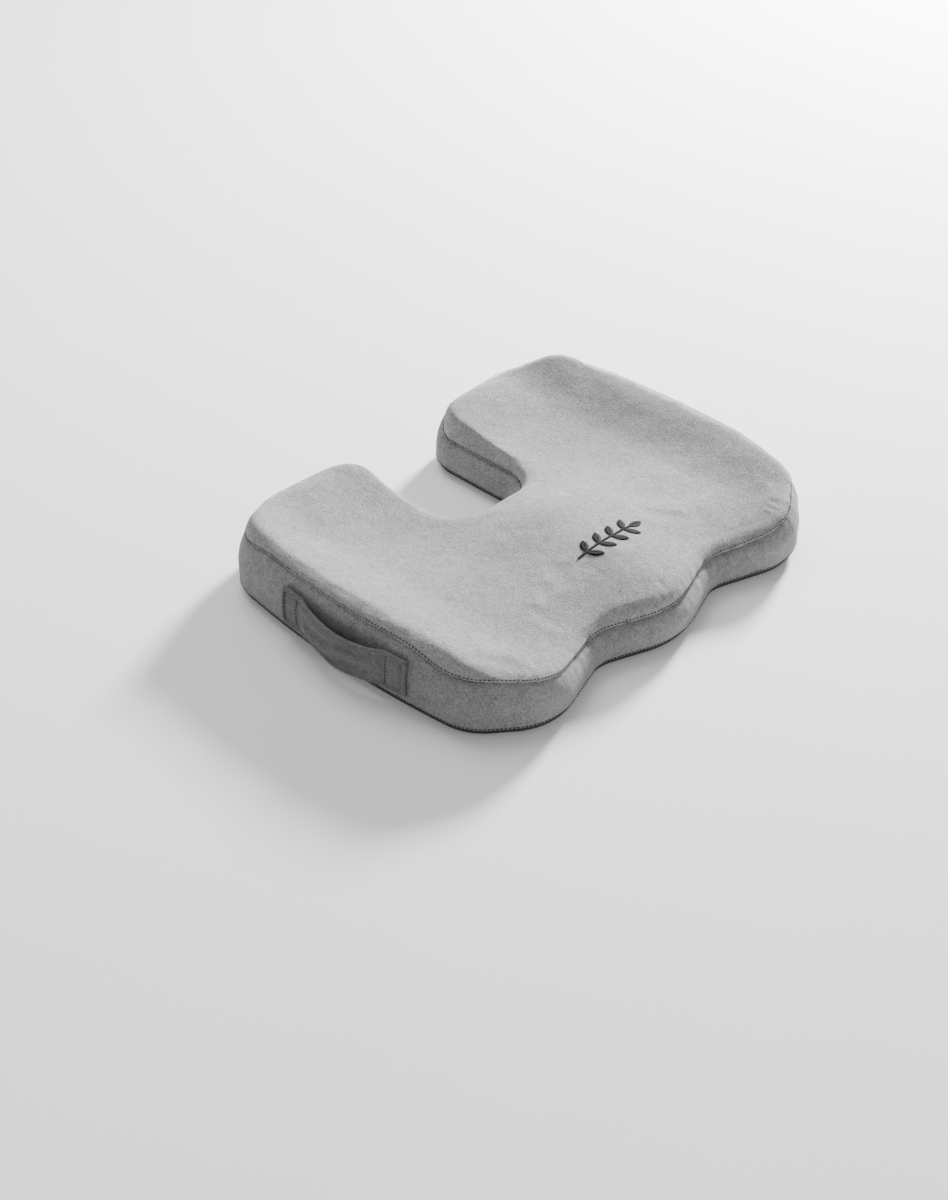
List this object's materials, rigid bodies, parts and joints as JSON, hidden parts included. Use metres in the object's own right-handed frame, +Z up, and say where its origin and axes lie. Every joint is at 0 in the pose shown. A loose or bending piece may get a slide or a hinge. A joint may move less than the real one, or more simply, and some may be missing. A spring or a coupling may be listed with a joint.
{
  "type": "seat cushion",
  "caption": "Velour-covered memory-foam seat cushion with a U-shaped rear cut-out, scalloped front, zip and side carrying strap.",
  "frame": {"origin": "middle of the cushion's plan, on the surface it rests on", "axes": "+Z up, +Y to the rear, where the U-shaped cut-out opens, +X to the sitter's right"},
  "size_m": [0.4561, 0.3512, 0.0701],
  "materials": {
    "velour": "matte",
    "band_velour": "matte",
    "foam": "matte",
    "non_slip_fabric": "matte",
    "grip": "satin",
    "thread": "matte",
    "label": "matte",
    "zip_tape": "matte",
    "zip_plastic": "satin",
    "zip_metal": "satin",
    "emblem": "matte"
  },
  "bodies": {
    "cushion": {"top_panel": "velour", "bottom_panel": "non_slip_fabric", "main_band": "band_velour", "rear_corner_band": "band_velour", "cutout_band": "band_velour", "foam_core": "foam", "top_seam_thread": "thread", "bottom_seam_thread": "thread", "grip_dots": "grip", "care_label": "label", "zip_panel_upper": "band_velour", "zip_panel_lower": "band_velour", "zip_tape_upper": "zip_tape", "zip_tape_lower": "zip_tape", "zip_coil_upper": "zip_plastic", "zip_coil_lower": "zip_plastic", "zip_stop_front": "zip_metal", "zip_stop_rear": "zip_metal", "zip_stitching": "thread", "strap_end_front": "band_velour", "strap_end_rear": "band_velour", "strap_stitch_front": "thread", "strap_stitch_rear": "thread", "sprig_emblem": "emblem"},
    "slider": {"zip_slider": "zip_metal"},
    "pull": {"zip_pull": "zip_metal"},
    "handle": {"carry_strap": "band_velour"}
  },
  "joints": [
    {"name": "zip_travel", "type": "hinge", "parent": "cushion", "child": "slider", "pos_m": [-0.6775, -0.005, 0.03], "axis": [0, 0, 1], "range_deg": [-12.35, 0]},
    {"name": "pull_swing", "type": "hinge", "parent": "slider", "child": "pull", "pos_m": [0.21971, 0.09714, 0.03], "axis": [0, 0, 1], "range_deg": [0, 170]},
    {"name": "handle_lift", "type": "hinge", "parent": "cushion", "child": "handle", "pos_m": [-0.22151, -0.005, 0.0515], "axis": [0, 1, 0], "range_deg": [0, 60]}
  ]
}
